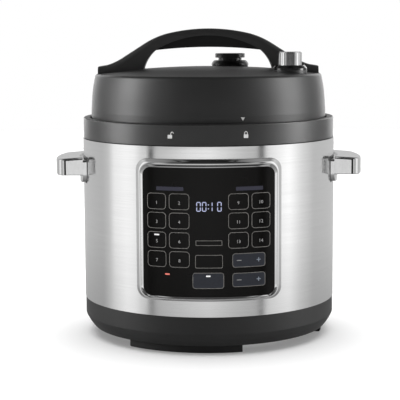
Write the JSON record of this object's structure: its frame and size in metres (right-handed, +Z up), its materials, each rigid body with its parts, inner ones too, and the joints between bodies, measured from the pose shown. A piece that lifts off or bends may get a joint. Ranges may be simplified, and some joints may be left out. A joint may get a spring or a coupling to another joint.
{
  "type": "electric pressure cooker",
  "caption": "Round countertop electric pressure cooker with a bayonet lid, arched lid handle, steam valves, side handles, control panel, lift-out pot and heating base.",
  "frame": {"origin": "on the cooker's vertical axis, at the level of the surface that its feet stand on", "axes": "+Z up along the axis of the pot, -Y to the front with the control panel, +X to the right through the side handles"},
  "size_m": [0.342, 0.3064, 0.3384],
  "materials": {
    "base_plastic": "fine matte moulding texture",
    "grip_plastic": "soft dark grip",
    "rubber": "moulded rubber",
    "silicone": "translucent silicone",
    "brushed_steel": "brushed stainless",
    "sheet_steel": "pressed sheet",
    "screw_steel": "plated",
    "satin_metal": "satin",
    "chrome": "polished",
    "cast_aluminium": "cast and turned",
    "element_steel": "drawn",
    "pot_coating": "dark non-stick coating",
    "overlay_gloss": "glossy black sheet",
    "valve_plastic": "satin moulding",
    "inner_plastic": "moulded",
    "circuit_board": "solder mask",
    "led_lens": "clear",
    "brass": "plated pins",
    "clear_plastic": "clear moulding"
  },
  "bodies": {
    "base": {"base_housing": "base_plastic", "bottom_cover": "sheet_steel", "bottom_screws": "screw_steel", "foot_front": "rubber", "foot_right": "rubber", "foot_left": "rubber", "outer_shell": "brushed_steel", "rim_ring": "base_plastic", "outer_pot": "sheet_steel", "lock_ring": "sheet_steel", "can_standoffs": "screw_steel", "heating_plate": "cast_aluminium", "heating_element": "element_steel", "sensor_holder": "sheet_steel", "sensor_spring": "screw_steel", "pressure_switch": "inner_plastic", "thermal_fuses": "inner_plastic", "power_board": "circuit_board", "board_spacers": "inner_plastic", "relay": "inner_plastic", "transformer": "inner_plastic", "capacitor": "inner_plastic", "power_inlet": "inner_plastic", "inlet_pins": "brass", "handle_bracket_left": "sheet_steel", "side_handle_left": "satin_metal", "handle_bracket_right": "sheet_steel", "side_handle_right": "satin_metal", "handle_screws": "screw_steel", "panel_bezel": "chrome", "panel_overlay": "overlay_gloss", "panel_housing": "inner_plastic", "control_board": "circuit_board", "tact_switches": "inner_plastic", "indicator_leds": "led_lens", "display_module": "inner_plastic", "cup_holder": "base_plastic"},
    "sensor": {"sensor_button": "cast_aluminium"},
    "cup": {"condensation_cup": "clear_plastic"},
    "pot": {"inner_pot": "pot_coating"},
    "gasket": {"sealing_gasket": "silicone"},
    "lid": {"lid_cover": "base_plastic", "lid_plate": "sheet_steel", "gasket_rack": "sheet_steel", "lid_screws": "screw_steel", "lid_handle": "base_plastic", "handle_grip": "grip_plastic", "lid_handle_screws": "screw_steel", "steam_valve_pipe": "element_steel", "anti_block_shield": "sheet_steel", "dial_collar": "valve_plastic", "release_valve_seat": "element_steel", "float_valve_bush": "element_steel"},
    "valve": {"steam_valve_cap": "valve_plastic"},
    "dial": {"release_dial": "chrome"},
    "float": {"float_valve_pin": "element_steel", "float_seal": "silicone"}
  },
  "joints": [
    {"name": "sensor_press", "type": "slide", "parent": "base", "child": "sensor", "axis": [0, 0, 1], "range_m": [-0.003, 0], "stiffness_N_per_m": 400, "springref_m": 0.004, "deforming": ["sensor_spring"]},
    {"name": "cup_slide", "type": "slide", "parent": "base", "child": "cup", "axis": [0, 1, 0], "range_m": [0, 0.03]},
    {"name": "pot_lift", "type": "slide", "parent": "base", "child": "pot", "axis": [0, 0, 1], "range_m": [0, 0.2]},
    {"name": "lid_lift", "type": "slide", "parent": "pot", "child": "gasket", "axis": [0, 0, 1], "range_m": [0, 0.2]},
    {"name": "lid_turn", "type": "hinge", "parent": "gasket", "child": "lid", "pos_m": [0, 0, 0.235], "axis": [0, 0, 1], "range_deg": [-37, 0]},
    {"name": "valve_lift", "type": "slide", "parent": "lid", "child": "valve", "axis": [0, 0, 1], "range_m": [0, 0.008]},
    {"name": "dial_turn", "type": "hinge", "parent": "lid", "child": "dial", "pos_m": [0.0885, -0.045, 0.304], "axis": [0, 0, 1], "range_deg": [-60, 0]},
    {"name": "float_rise", "type": "slide", "parent": "lid", "child": "float", "axis": [0, 0, 1], "range_m": [0, 0.006]}
  ]
}
